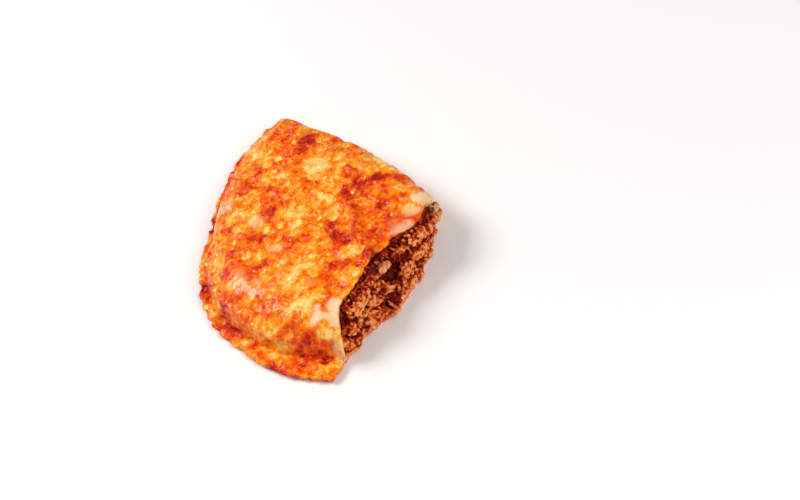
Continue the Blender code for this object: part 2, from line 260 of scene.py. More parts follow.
def level(y):
    """Height over the middle of the pie, from the tear to the tip."""
    return mix(BODY_HEIGHT, TIP_HEIGHT, smooth((y + 5.0) / 135.0))


def body_height(x, y):
    """The level with two slow sine waves on it."""
    slow = np.sin(x / 11.0 + 0.6) * np.sin(y / 13.0 + 0.4)
    quick = np.sin(x / 6.1 - y / 9.0 + 1.3)
    return level(y) + 0.7 * slow + 0.35 * quick


def seam_height(x, y):
    """Smooth ramp from half the height at the fold to the middle of the rim."""
    rim = along(RIM_LIFT, turn_of(x, y))
    fold = mix(0.5 * level(y), rim, smooth((y - 70.0) / 42.0))
    from_fold = fold_distance(x, y)
    whole = np.maximum(from_fold + rim_distance(x, y, False), 0.01)
    return mix(fold, rim, smooth(from_fold / whole))


def fold_dough(y):
    """Thickness of the dough at the fold: thicker where the fold meets the tear."""
    return mix(DOUGH, FOLD_END_DOUGH, smooth(1 - y / FOLD_END_REACH))


def wall_rise(x, y, fold_inset, rim_inset):
    """Product of two quarter ellipses: 1 over the body, 0 at the fold and at the rim."""
    round_fold = FOLD_ROUND * (1 - 0.4 * smooth((y - 40.0) / 70.0))
    from_fold = (fold_distance(x, y) - fold_inset) / (round_fold - fold_inset)
    start = along(RIM_WIDTH, turn_of(x, y)) + rim_inset
    from_rim = (rim_distance(x, y, False) - start) / (WALL_ROUND - rim_inset)
    return arch(from_fold) * arch(from_rim)


def lip(x, y):
    """Half the thickness of the rim, and its rounding: 0 at the fold and fluted edge, 1 inside."""
    edge = arch(fold_distance(x, y) / 2.5) * arch(rim_distance(x, y, True) / 1.3)
    return 0.5 * RIM_THICKNESS * edge, edge


def outer_top(x, y):
    """Seam plus lip on the rim, rising to the body height inside it, with pressed flutes."""
    thick, edge = lip(x, y)
    from_rim = rim_distance(x, y, False) - along(RIM_WIDTH, turn_of(x, y))
    rise = wall_rise(x, y, 0.0, 0.0) * smooth(WALL_START + from_rim / WALL_FOOT)
    press = 0.45 * np.cos(2.0 * np.pi * turn_of(x, y) * CUT_TURN * ARC_RADIUS / FLUTE_PITCH)
    base = seam_height(x, y) + thick + press * edge * (1 - rise)
    return mix(base, body_height(x, y), rise) + crest_relief(x, y) * edge * mix(0.35, 1.0, rise)


def outer_bottom(x, y):
    """Seam less lip, falling along quarter ellipses to the flat underside."""
    seam = seam_height(x, y)
    thick, _ = lip(x, y)
    from_fold = fold_distance(x, y) / (0.9 * np.maximum(seam, 2.0))
    from_rim = (rim_distance(x, y, False) - along(RIM_WIDTH, turn_of(x, y))) / 4.0
    return (seam - thick) * (1 - arch(from_fold) * arch(from_rim))


def pocket_seam(x, y, inset):
    """The seam, held high enough to leave the lower dough its thickness."""
    return np.maximum(seam_height(x, y), DOUGH + inset + 0.3)


def pocket_top(x, y, inset=0.0):
    """Body height less the dough, sunk where the skin above it is sunk."""
    seam = pocket_seam(x, y, inset)
    rise = wall_rise(x, y, fold_dough(y) + inset, RIM_DOUGH + inset)
    ceiling = body_height(x, y) + roof_creases(x, y) - DOUGH - inset
    return seam + np.maximum(ceiling - seam, 0.0) * rise


def pocket_bottom(x, y, inset=0.0):
    """The seam, falling along a steep ramp to the top of the lower dough."""
    seam = pocket_seam(x, y, inset)
    rise = wall_rise(x, y, fold_dough(y) + inset, RIM_DOUGH + inset)
    return seam - (seam - DOUGH - inset) * rise ** 0.5


print("the body sinks from", level(0.0).round(1), "to", level(FOLD_LENGTH).round(1), "mm at the tip")

# %% [markdown]
# ## Crests and the large blisters
# A few forms are big enough to be listed one by one: the crest that was pinched up where the
# pie was torn, the creases beside it, and a dozen blisters of 10 mm and more.  Each is a
# hump of a simple formula at a named place.

# %% Forms listed one by one
# Start, end, height and half width of each crest; a hollow has a height below zero
CRESTS = (
    ((-43.5, -12), (-38.5, 5), 3.4, 2.6),
    ((-37, 8.5), (-26, 29), 1.6, 2.3),
    ((-48.5, -8), (-56, 7), -1.3, 3.6),
    ((-59.5, 9.5), (-68, 16), -0.9, 3.4),
    ((-31, 31), (-8, 31), -0.8, 3),
    ((-92.5, -6), (-85.5, -25), -1, 2.2),
)
# Middle, radius and height of each large blister
BLISTERS = (
    (-59.4, 58.2, 6, 1.1),
    (-73.6, 17.6, 7, 1),
    (-18.6, 62.7, 5.5, 1.1),
    (-82.5, -18.5, 7, 3.2),
    (-61.4, 77.5, 6.5, 0.8),
    (-20.9, -3, 9, 1.2),
    (-94, -14, 4.5, 1.1),
    (-33, 44, 5, 0.9),
    (-52, 38, 5.5, 0.9),
    (-14, 14, 7, 1.1),
    (-84, 45, 5, 0.8),
    (-36, 86, 6, 0.8),
)


def crest(x, y, start, end, width):
    """Bell curve of the distance from a straight line, over the half width."""
    run = np.subtract(end, start)
    part = ((x - start[0]) * run[0] + (y - start[1]) * run[1]) / (run @ run)
    held = np.clip(part, 0, 1)
    away = np.hypot(x - start[0] - held * run[0], y - start[1] - held * run[1])
    return np.exp(-((away / width) ** 2))


def dome(x, y, middle_x, middle_y, radius):
    """Smooth ramp of 1 less the distance over the radius: a round cushion."""
    away = np.hypot(x - middle_x, y - middle_y) / radius
    return smooth(1 - away) ** 0.8


def crest_relief(x, y):
    """Sum of the crests and the large blisters, each its height times its formula."""
    relief = np.zeros_like(x)
    for start, end, height, width in CRESTS:
        relief = relief + height * crest(x, y, start, end, width)
    for middle_x, middle_y, radius, height in BLISTERS:
        relief = relief + height * dome(x, y, middle_x, middle_y, radius)
    return relief


def roof_creases(x, y):
    """The creases alone, wider and shallower, so that the pocket under them stays clear."""
    sunk = np.zeros_like(x)
    for start, end, height, width in CRESTS:
        if height < 0.0:
            sunk = sunk + 0.5 * height * crest(x, y, start, end, 1.5 * width)
    return sunk


print(len(CRESTS), "crests and", len(BLISTERS), "large blisters")

# %% [markdown]
# ## Where the dough browned
# Browning decides both colour and relief: where the dough stood up into the hot oil it made
# many small beads and went dark red, where it lay smooth it stayed golden, and at the tear
# the inside of the sheet is pale.  Four tables hold the patches, and each is made a mask
# from 0 to 1.  A few browned spots also stand for painted shade, in the groove beside one
# large blister and along the outer edge of the rim, and the faint pale patches on smooth
# skin stand for painted reflection of the light.

# %% Patches of browned, golden, smooth and pale dough, with some painted shade and painted reflection
# Middle, radius and strength
# Spots near (-88, -15) darken the groove beside the large blister at (-82.5, -18.5), and the three near x
# = -104 darken the outer edge of the rim over the underside: partly browning, partly painted shade.
BROWNED_AND_SHADE = (
    (-3, 79, 4, 0.9), (-9, 79.5, 5, 1), (-16.5, 77, 4.5, 1),
    (-22, 85, 4, 0.5), (-13, 43, 4.5, 0.8), (-3.5, 22.5, 3.5, 0.7),
    (-9.5, 27.5, 4.5, 1), (-16.7, 31.4, 5, 1), (-25.5, 33, 4.5, 1),
    (-53, 56, 4.5, 0.9), (-42.5, 70, 4.5, 0.9), (-51.5, 80.5, 4, 0.6),
    (-43, 23, 4.5, 0.9), (-44, 15, 3.5, 0.8), (-41, 8.2, 4, 0.9),
    (-33, 12, 4, 0.6), (-44.5, -7.5, 3.2, 1), (-49, -5.3, 3.6, 1),
    (-53.5, -1.5, 3.6, 1), (-57.5, 3, 3.8, 0.9), (-68, 88, 5, 0.5),
    (-94.7, 58.5, 7, 0.8), (-91, 48, 5, 0.5), (-75.8, 31.5, 4.5, 0.6),
    (-87.5, -17.5, 4, 1), (-84.5, -23, 3.2, 1), (-90.5, -11.5, 4, 0.9),
    (-87.9, -5, 4, 0.6), (-104.4, -2, 2.6, 1), (-104.2, -7.5, 2.6, 1),
    (-103, -13, 2.4, 1), (-30, 57, 4, 0.5), (-68, 66, 4, 0.7),
    (-101, 34, 4.5, 0.7), (-21, 12, 3.5, 0.5), (-66, 45, 3.5, 0.5),
)
GOLDEN = (
    (-73.8, 13.3, 6.5, 1), (-42.8, 44.5, 6, 0.8), (-47, 3.7, 4, 0.8),
    (-82.2, -18.3, 4.6, 0.6), (-58, 22, 6, 0.7), (-47, 45, 6, 0.6),
    (-24, 103, 7, 0.5), (-5, 10, 6, 0.7), (-59.6, 56.8, 8, 0.9),
    (-19.8, 60, 7, 0.9), (-33, 26, 5, 0.6), (-80, -3, 6, 0.6),
    (-95, 6, 6, 0.6), (-28, 88, 6, 0.5), (-63, 71, 5, 0.5),
    (-29, 41, 4.5, 0.5), (-57, -8.5, 4.5, 1), (-79, -24, 4, 0.7),
)
SMOOTH_SKIN = (
    (-88.4, 28.9, 11, 1), (-78, 20, 9, 0.8), (-59.4, 58.2, 7.5, 0.9),
    (-73.6, 17.6, 8, 1), (-19.8, 60, 6.5, 0.8), (-58.7, 82, 8, 1),
    (-20.9, -4, 10, 0.9), (-12, 10, 9, 0.6), (-82.2, -18.3, 4.6, 0.9),
    (-46, 88, 7, 0.6), (-92, 14, 8, 0.7), (-33, 44, 5.5, 0.6),
    (-64.8, 33.7, 5, 0.7), (-60.5, -6.5, 5, 0.7), (-30, 72, 6, 0.5),
)
# Pale spots at the tear and the corner are the raw inside of the sheet; the faint ones out on smooth skin
# give a pinkish base that is painted reflection of the light.
PALE_AND_REFLECTION = (
    (-76.8, -15.6, 4.8, 1), (-71.5, -14, 3.6, 1), (-79.6, -12, 4.4, 1),
    (-5, 0.5, 5.5, 1), (-59.4, 57, 5, 0.5), (-19.8, 60, 4.5, 0.35),
    (-82.5, -24.5, 3, 0.5), (-25, -7, 6, 0.6), (-15, -3.5, 5, 0.65),
    (-88, 34, 7, 0.4), (-87, 23, 6, 0.35), (-58.7, 82, 6, 0.55),
    (-64.8, 33.7, 4, 0.5), (-80, 15, 4, 0.3), (-70, 3, 4, 0.3),
)


def patches(table, points, salt):
    """Sum of soft spots with frayed edges: the distance is stretched by noise first."""
    frayed = points + 2.4 * np.stack([noise(points, 4.0, salt + k) for k in range(3)], axis=1)
    mask = np.zeros(len(points))
    for middle_x, middle_y, radius, strength in table:
        away = np.hypot(frayed[:, 0] - middle_x, frayed[:, 1] - middle_y) / radius
        mask = np.maximum(mask, strength * smooth(1.35 - away))
    return mask


patch_count = sum(len(table) for table in (BROWNED_AND_SHADE, GOLDEN, SMOOTH_SKIN, PALE_AND_REFLECTION))
print(patch_count, "patches of browned, golden, smooth and pale dough")

# %% [markdown]
# ## Laying out the sheet
# The crust is one closed body.  An outer upper sheet and an outer lower sheet meet at the
# fold and at the rim, and a pocket for the meat opens at the tear.  Four grids would be
# easy to make with a loop for each vertex, but whole arrays are far quicker: a grid is one
# array of points, its faces are sums of row and column numbers, and two borders of unequal
# count are zipped by sorting their fractions.

# %% Grids, borders and closed meshes


def ruled(way, parts, inside, inset):
    """Points on straight lines from the fold to the rim, and each one's share of its line.

    Inside the pie the lines stop short by the dough at the fold, rim and tip.
    """
    way = way[:, None]
    turn = 1 - way
    angle = turn * CUT_TURN
    fold_y = (FOLD_LENGTH - inside * (TIP_DOUGH + inset)) * way
    fold_x = fold_line(fold_y) - inside * (fold_dough(fold_y) + inset)
    whole = along(RIM_REACH, turn)
    inner = whole - along(RIM_WIDTH, turn) - RIM_DOUGH - inset
    reach = inner if inside else whole + flutes(turn)
    last = way == 1.0
    far_x = np.where(last, fold_x, -reach * np.sin(angle))
    far_y = np.where(last, fold_y, reach * np.cos(angle))
    x = mix(fold_x, far_x, parts)
    y = mix(fold_y, far_y, parts)
    edge_x = fold_line(fold_y)
    full = np.hypot(-whole * np.sin(angle) - edge_x, whole * np.cos(angle) - fold_y)
    share = np.hypot(x - edge_x, y - fold_y) / np.maximum(full, 1.0)
    return share, x, y


def evened(way, parts):
    """Parts moved along each line until neighbours lie equally far apart over the skin.

    The length over the skin is the running sum of root(dx^2 + dy^2 + dz^2).
    """
    _, x, y = ruled(way, parts, 0, 0.0)
    steps = np.sqrt(np.diff(x) ** 2 + np.diff(y) ** 2 + np.diff(outer_top(x, y)) ** 2)
    length = np.pad(np.cumsum(steps, axis=1), ((0, 0), (1, 0)))
    wanted = length[:, -1:] * parts
    return np.stack([np.interp(*row, parts) for row in zip(wanted, length)])


def torn(way, share, y, table):
    """Move the first lines along Y to the torn edge, less and less away from it.

    Close to the edge a ragged line of two noises is added, the same for skin and pocket.
    """
    line = np.stack([share * 100.0, 0.0 * share, 0.0 * share + table[2]], axis=2).reshape(-1, 3)
    ragged = (0.75 * noise(line, 3.1, 7) + 0.45 * noise(line, 1.3, 8)).reshape(share.shape)
    near_tear = smooth(1 - way[:, None] / TEAR_FADE)
    at_tear = smooth(1 - way[:, None] / RAGGED_FADE)
    return y + along(table, share) * near_tear + ragged * at_tear


def sheet(way, parts, inside, inset, table, height):
    """A grid of points ruled in plan, moved to the tear and lifted to a height, and its shares."""
    share, x, y = ruled(way, parts, inside, inset)
    return np.stack([x, torn(way, share, y, table), height(x, y)], axis=2), share[0]


def stitched(grids):
    """The points of several grids in one array, and the number at which each grid starts."""
    starts = np.cumsum([0] + [grid.shape[0] * grid.shape[1] for grid in grids])
    return np.concatenate([grid.reshape(-1, 3) for grid in grids]), starts


def quads(rows, columns, first=0):
    """Corner numbers of a grid's faces: a vertex is first + row * columns + column."""
    row, column = np.meshgrid(np.arange(rows - 1), np.arange(columns - 1), indexing="ij")
    low = (first + row * columns + column).ravel()
    return np.stack([low, low + 1, low + columns + 1, low + columns], axis=1)


def zip_rows(first, second, first_at, second_at):
    """Triangles between two rows, stepping along whichever row has the nearer next point."""
    ends = np.concatenate([first_at[1:], second_at[1:]])
    from_first = np.concatenate([np.ones(len(first) - 1), np.zeros(len(second) - 1)])
    from_first = from_first[np.argsort(ends, kind="stable")].astype(int)
    i = np.cumsum(from_first) - from_first
    j = np.cumsum(1 - from_first) - (1 - from_first)
    step = from_first.astype(bool)
    next_first = first[np.minimum(i + 1, len(first) - 1)]
    next_second = second[np.minimum(j + 1, len(second) - 1)]
    return np.stack([first[i], second[j], np.where(step, next_first, next_second)], axis=1)


def normals_of(grid):
    """Cross product of the two central differences at every point of a grid."""
    normal = np.cross(np.gradient(grid, axis=1), np.gradient(grid, axis=0))
    size = np.linalg.norm(normal, axis=2, keepdims=True)
    return normal / np.maximum(size, 1e-9)


def build(name, points, faces):
    """A mesh object in metres from points in the pie's millimetres and arrays of faces."""
    mesh = bpy.data.meshes.new(name)
    rings = [ring for group in faces for ring in group.tolist()]
    mesh.from_pydata(((points + CORNER) * MM).tolist(), [], rings)
    mesh.update()
    item = bpy.data.objects.new(name, mesh)
    bpy.context.scene.collection.objects.link(item)
    return item


def paint(item, layers):
    """Store one number per vertex under each name, for the material to read."""
    for name, values in layers.items():
        layer = item.data.attributes.new(name, "FLOAT", "POINT")
        layer.data.foreach_set("value", np.asarray(values, dtype=np.float32))


def close(item, turn_out=True):
    """Join vertices that share a place, turn every face outwards and shade smoothly."""
    shell = bmesh.new()
    shell.from_mesh(item.data)
    bmesh.ops.remove_doubles(shell, verts=shell.verts, dist=2e-7)
    loose = [v for v in shell.verts if not v.link_faces]
    bmesh.ops.delete(shell, geom=loose, context="VERTS")
    if turn_out:
        bmesh.ops.recalc_face_normals(shell, faces=shell.faces)
    open_edges = sum(1 for e in shell.edges if len(e.link_faces) != 2)
    volume = shell.calc_volume(signed=True) / MM ** 3
    shell.to_mesh(item.data)
    shell.free()
    item.data.polygons.foreach_set("use_smooth", np.ones(len(item.data.polygons), dtype=bool))
    item.data.update()
    triangles = sum(len(p.vertices) - 2 for p in item.data.polygons)
    print(item.name, "has", triangles, "triangles,", open_edges, "open edges and", round(volume), "mm3")


print("a grid of 3 by 4 points has", len(quads(3, 4)), "faces")

# %% [markdown]
# ## The fried skin
# On the real pie every square centimetre carries blisters of several sizes.  They could be
# left to a bump map, but then the outline and the mesh would be smooth.  Here the upper
# sheet is fine enough, at about half a millimetre, to carry them as shape: low swells,
# blisters of a few millimetres, and beads of one to three that crowd where it browned.

# %% Relief of the fried skin
SWELL_CELL = 10.0
BLISTER_CELL = 5.8
BEAD_CELL = 2.9
GRIT_CELL = 1.7
# Radius of the smallest and of the largest ball, as a share of its cell
BALL_RANGE = (0.26, 0.50)


def skin_masks(points):
    """Browned, smooth and pale shares at each point; the browned share holds a few spots of painted
    shade, and the pale share a pinkish painted reflection on smooth skin.
    """
    calm = patches(SMOOTH_SKIN, points, 50)
    pale = patches(PALE_AND_REFLECTION, points, 60)
    browned = patches(BROWNED_AND_SHADE, points, 40)
    browned = np.clip(browned + 0.5 * smooth(rough(points, 9.0, 70) * 1.6 - 0.2), 0, 1)
    return browned * (1 - 0.6 * calm), calm, pale


def fried_relief(points, browned, calm, pale):
    """Swells + the taller of blisters and beads + wrinkles + grit + noise, where each grows.

    Also returned: how high on a bead or blister the point sits, and the bead's own chance.
    """
    quiet = 1 - 0.85 * np.maximum(calm, pale)
    swell, _ = bubbles(points, SWELL_CELL, 3, 0.40, 0.62)
    blister, blister_tone = bubbles(points, BLISTER_CELL, 13, *BALL_RANGE, 0.75)
    bead, bead_tone = bubbles(points, BEAD_CELL, 23, *BALL_RANGE, 0.85)
    grit, _ = bubbles(points, GRIT_CELL, 27, *BALL_RANGE, 0.8)
    wrinkle = np.sin((points[:, 0] * 0.25 + points[:, 1] + 0.8 * noise(points, 6.0, 81)) * 1.9)
    crowd = smooth(0.5 + 1.2 * rough(points, 7.0, 33)) * quiet
    crowded = np.clip(0.4 + 0.9 * crowd + 0.5 * browned, 0.0, 1.2)
    blister = blister * mix(0.25, 1.0, quiet) * 0.5
    beads = bead * crowded * mix(0.2, 1.0, quiet) * 0.72
    relief = 0.22 * swell + np.maximum(blister, beads) + 0.34 * beads
    relief += 0.10 * wrinkle * calm * (1 - pale)
    relief += 0.26 * grit * quiet * mix(0.5, 1.0, browned) + 0.12 * rough(points, 1.9, 91)
    top = np.clip(np.maximum(blister / 1.3, beads / 0.8), 0, 1)
    return relief - relief.mean(), top, np.where(beads > blister, bead_tone, blister_tone)


def doneness_with_highlight(points, browned, top, tone):
    """How far the dough was fried, 0 raw to 1 dark: patches + slow noise - bead tops.  The lighter bead
    tops are partly the golden colour of blisters and partly painted highlight.
    """
    golden = patches(GOLDEN, points, 160)
    done = 0.54 + 0.44 * browned - 0.28 * golden
    done += 0.34 * rough(points, 12.0, 170, 2) + 0.30 * rough(points, 4.6, 175, 2)
    return done + 0.30 * (tone - 0.5) - 0.36 * top * (1 - 0.55 * browned)


widest = 2.0 * BALL_RANGE[1]
print("blisters up to", widest * BLISTER_CELL, "mm across and beads up to", widest * BEAD_CELL)

# %% Upper sheet with its relief
STATIONS = 325
SKIN_COLUMNS = 228
TIP_FADE = 40.0
TEAR_STATIONS = 7.0
way = np.linspace(0, 1, STATIONS)
skin_parts = np.linspace(0, 1, SKIN_COLUMNS)
even_parts = evened(way, skin_parts)
upper, skin_share = sheet(way, even_parts, 0, 0.0, UPPER_TEAR, outer_top)
flat = upper.reshape(-1, 3)
browned, calm, pale = skin_masks(flat)
relief, bead_top, tone = fried_relief(flat, browned, calm, pale)
done = doneness_with_highlight(flat, browned, bead_top, tone)
_, edge = lip(*ruled(way, even_parts, 0, 0.0)[1:])
at_ends = smooth((1 - way) * TIP_FADE) * smooth(way * STATIONS / TEAR_STATIONS)
height = relief.reshape(edge.shape) * mix(0.4, 1.0, edge) * at_ends[:, None]
upper = upper + height[:, :, None] * normals_of(upper)
print("relief from", relief.min().round(2), "to", relief.max().round(2), "mm")

# %% Lower sheet and pocket
LOWER_COLUMNS = 116
POCKET_STATIONS = 11
LIP_SLANT = 1.3
half = np.arange(0, STATIONS, 2)
lower_parts = np.linspace(0, 1, LOWER_COLUMNS)
lower, lower_share = sheet(way[half], lower_parts, 0, 0.0, LOWER_TEAR, outer_bottom)
lower[:, 0] = upper[half, 0]
lower[:, -1] = upper[half, -1]

pocket_way = np.linspace(0, 1, POCKET_STATIONS) ** 1.6
roof, roof_share = sheet(pocket_way, skin_parts, 1, 0.0, UPPER_TEAR, pocket_top)
roof[:, :, 1] += np.sin(np.pi * skin_parts) * LIP_SLANT * smooth(1 - pocket_way / 0.06)[:, None]
bed, bed_share = sheet(pocket_way, lower_parts, 1, 0.0, LOWER_TEAR, pocket_bottom)
bed[:, 0] = roof[:, 0]
bed[:, -1] = roof[:, -1]
print("upper dough at the tear is about", np.median(upper[0] - roof[0], axis=0)[2].round(1), "mm thick")

# %% Torn lips
LIP_ROWS = 6
UPPER_BULGE = 0.25
LOWER_BULGE = 0.5


def torn_edge(outside, inside, outside_at, inside_at, bulge, salt):
    """Rows from the outer skin to the inner, bowed out and frayed: line + sine of its length.

    Each column ends on the inner edge at its own share of the way, held to that edge's ends.
    """
    rows = np.linspace(0, 1, LIP_ROWS)[1:-1, None, None]
    target = np.stack([np.interp(outside_at, inside_at, inside[:, k]) for k in range(3)], axis=1)
    points = mix(outside[None], target[None], rows)
    bow = np.sin(np.pi * rows[:, :, 0]) * np.ones(points.shape[:2])
    # A bow with noise on it, then coarser noise alone: size, depth, middle and salt
    for size, depth, middle, layer in ((1.8, -0.9 * bulge, -bulge, salt), (2.6, 0.5, 0.0, salt + 3)):
        fray = rough(points.reshape(-1, 3), size, layer).reshape(bow.shape)
        points[:, :, 1] += bow * (middle + depth * fray)
    return points


upper_lip = torn_edge(upper[0], roof[0], skin_share, roof_share, UPPER_BULGE, 101)
lower_lip = torn_edge(lower[0], bed[0], lower_share, bed_share, LOWER_BULGE, 111)
lower_lip[:, 0] = upper_lip[:, 0]
lower_lip[:, -1] = upper_lip[:, -1]
print("torn lips with", upper_lip.size // 3 + lower_lip.size // 3, "vertices")

# %% One closed crust
grids = (upper, lower, roof, bed, upper_lip, lower_lip)
points, starts = stitched(grids)


def row_of(which, row):
    """Vertex numbers of one row of one grid."""
    rows, columns = grids[which].shape[:2]
    return starts[which] + row % rows * columns + np.arange(columns)


def border(column):
    """Slivers that join every other point of the upper border to all of its points."""
    fine = np.arange(STATIONS) * SKIN_COLUMNS + column % SKIN_COLUMNS
    return np.stack([fine[:-2:2], fine[1:-1:2], fine[2::2]], axis=1)


faces = [quads(*grid.shape[:2], start) for grid, start in zip(grids, starts)]
faces += [
    border(0),
    border(-1),
    zip_rows(row_of(0, 0), row_of(4, 0), skin_share, skin_share),
    zip_rows(row_of(4, -1), row_of(2, 0), np.clip(skin_share, *roof_share[[0, -1]]), roof_share),
    zip_rows(row_of(1, 0), row_of(5, 0), lower_share, lower_share),
    zip_rows(row_of(5, -1), row_of(3, 0), np.clip(lower_share, *bed_share[[0, -1]]), bed_share),
]
crust = build("crust_skin", points, faces)

# %% Masks of the crust
# The lips and the pocket are the pale inside of the sheet, and the underside takes its chance
# from another height
UNDERSIDE_SHIFT = np.array((0.0, 0.0, 90.0))
UNDERSIDE_BEADS = 3.4
LOWER_LIP_PALE = 0.6
under = lower.reshape(-1, 3)
under_browned, under_calm, _ = skin_masks(under + UNDERSIDE_SHIFT)
under_top, under_tone = bubbles(under, UNDERSIDE_BEADS, 190, *BALL_RANGE, 0.9)
under_done = doneness_with_highlight(under + UNDERSIDE_SHIFT, under_browned, under_top / 1.6, under_tone)
inside = starts[4] - starts[2]
hidden = starts[6] - starts[2]
inward = np.linspace(0, 1, LIP_ROWS)[1:-1, None]
upper_pale = mix(pale[:SKIN_COLUMNS], 1.0, inward ** 1.4)
lower_pale = np.repeat(LOWER_LIP_PALE * inward ** 0.84, LOWER_COLUMNS)
upper_done = np.tile(done[:SKIN_COLUMNS], LIP_ROWS - 2)
lower_done = np.full(len(lower_pale), 0.5)
paint(crust, {
    "browned": np.concatenate([browned, under_browned, np.zeros(hidden)]),
    "calm": np.concatenate([calm, under_calm, np.ones(hidden)]),
    "pale": np.concatenate([pale, np.zeros(len(under)), np.ones(inside), upper_pale.ravel(), lower_pale]),
    "done": np.concatenate([done, under_done, np.full(inside, 0.2), upper_done, lower_done]),
})
close(crust)

# %% [markdown]
# ## The minced meat
# The filling is one loaf of mince that runs the whole length of the pocket, and the tear
# shows it as a wall of crumbs.  The loaf is a plain closed body, since the crust hides all
# but its end.  The crumbs need overhangs and dark gaps that no height field can have, so
# they are several thousand small lumps, fused into one skin by a voxel remesh and roughened.
# The lumps sit in clumps, as mince does when it sets, and shreds lie in layers between them.

# %% The loaf inside the pocket
LOAF_COLUMNS = 90
LOAF_STATIONS = 12
FACE_ROWS = 16


def loaf_sheet(table, surface, out):
    """Top or bed of the loaf, which stands out at the torn face a little."""
    grid, _ = sheet(loaf_way, loaf_parts, 1, FILLING_GAP, table, lambda x, y: surface(x, y, FILLING_GAP))
    grid[:, :, 1] += out * smooth(1 - loaf_way / TEAR_FADE)[:, None]
    return grid


loaf_parts = np.linspace(0, 1, LOAF_COLUMNS)
loaf_way = np.linspace(0, 1, LOAF_STATIONS) ** 1.3
loaf_top = loaf_sheet(UPPER_TEAR, pocket_top, 0.6)
loaf_bed = loaf_sheet(LOWER_TEAR, pocket_bottom, 0.5)
loaf_bed[:, 0] = loaf_top[:, 0]
loaf_bed[:, -1] = loaf_top[:, -1]
climb = np.linspace(0, 1, FACE_ROWS)[:, None, None]
grids = (loaf_top, loaf_bed, mix(loaf_bed[0], loaf_top[0], climb))
points, starts = stitched(grids)
loaf = build("meat_loaf", points, [quads(*grid.shape[:2], first) for grid, first in zip(grids, starts)])
close(loaf)

# %% Lumps, and places on the torn wall
draw = np.random.default_rng(5)


def ball(detail):
    """Points and faces of a unit ball made of nearly even triangles."""
    shell = bmesh.new()
    bmesh.ops.create_icosphere(shell, subdivisions=detail, radius=1.0)
    places = np.array([v.co for v in shell.verts])
    rings = np.array([[v.index for v in f.verts] for f in shell.faces])
    shell.free()
    return places, rings


def lumps(middles, sizes, salt, detail, dent):
    """Balls stretched by three sizes, turned at random and dented by noise, as one array."""
    places, rings = ball(detail)
    turns, _ = np.linalg.qr(draw.normal(size=(len(middles), 3, 3)))
    stretched = places[None] * sizes[:, None, :]
    turned = np.einsum("nij,npj->npi", turns, stretched) + middles[:, None, :]
    flat = turned.reshape(-1, 3)
    away = flat - np.repeat(middles, len(places), axis=0)
    flat = flat + away * (dent * rough(flat, 1.7, salt))[:, None]
    count = np.arange(len(middles))[:, None, None] * len(places)
    return flat, (rings[None] + count).reshape(-1, 3)


def on_face(part, high):
    """Place on the torn wall: across it by a fraction, and up it by another."""
    across = part * (LOAF_COLUMNS - 1)
    low = np.minimum(across.astype(int), LOAF_COLUMNS - 2)
    step = (across - low)[:, None]
    foot = mix(loaf_bed[0][low], loaf_bed[0][low + 1], step)
    head = mix(loaf_top[0][low], loaf_top[0][low + 1], step)
    return mix(foot, head, high[:, None]), np.linalg.norm(head - foot, axis=1)


print("a ball has", len(ball(2)[0]), "vertices")

# %% Gaps and heads in the wall
# Place across, height, radius and depth; a head of meat that stands out has a depth below zero
WALL_FORMS = (
    (-48, 21.5, 3.5, 1), (-39, 14.5, 3.5, 1), (-50.5, 12.5, 3, 0.8),
    (-44, 8.5, 2.5, 0.7), (-70, 8, 3, 0.6), (-62, 15.5, 4.5, -0.7),
    (-24, 15.5, 5.5, -0.6), (-35, 9.5, 4, -0.5),
)


def gaps_and_heads(points):
    """Sum over the forms of depth times a bell curve of the distance in the wall."""
    total = np.zeros(len(points))
    for across, height, radius, depth in WALL_FORMS:
        away = np.hypot(points[:, 0] - across, points[:, 2] - height) / radius
        total += depth * np.exp(-away * away)
    return total


print(sum(form[3] > 0.0 for form in WALL_FORMS), "gaps among", len(WALL_FORMS), "forms of the wall")

# %% Clumps all over the wall
CLUMP_COLUMNS = 15
CLUMP_ROWS = 3
CLUMP_RADIUS = 4.2
SLAB_SHARE = 0.3
GAP_DEPTH = 3.0
column, row = np.meshgrid(np.arange(CLUMP_COLUMNS), np.arange(CLUMP_ROWS), indexing="ij")
count = column.size
part = 0.05 + 0.94 * (column.ravel() + 0.5 + draw.uniform(-0.38, 0.38, count)) / CLUMP_COLUMNS
high = (row.ravel() + 0.5 + draw.uniform(-0.36, 0.36, count)) / CLUMP_ROWS
clumps, tall = on_face(part, high)
sunk = gaps_and_heads(clumps)
radius = np.minimum(CLUMP_RADIUS, 0.30 * tall + 0.5) * draw.uniform(0.72, 1.15, count)
radius *= 1 - 0.3 * np.clip(sunk, 0, 1)
ends = smooth(tall / 9.0) * smooth((part - 0.04) / 0.12)
out = draw.uniform(-0.6, 2.4, count) + 1.6 * np.sin(np.pi * high) - GAP_DEPTH * sunk
clumps[:, 1] -= out * ends
shape = draw.uniform(0.8, 1.2, (count, 3))
slab = draw.uniform(0.0, 1.0, count) < SLAB_SHARE
shape = np.where(slab[:, None], np.array((1.5, 1.0, 0.42)), shape)
print(count, "clumps over a wall up to", tall.max().round(1), "mm tall")

# %% Knob, onion and shreds
# A knob of meat hangs out at the folded corner, and pale clumps of onion lie among the meat:
# middle and radius.  Both get a pale tan tint; on the knob it is partly its own colour and partly
# painted light against the shade under the lip.
KNOB = np.array((
    (-5, -3.6, 15.4, 2.8), (-3.8, -2.8, 11, 2.6), (-6.4, -4.4, 12.4, 2.6), (-4.2, -2.2, 7.5, 2.2),
))
ONIONS = np.array(((-43.8, -13, 19, 3.2), (-9.4, -5.4, 15.4, 1.9)))
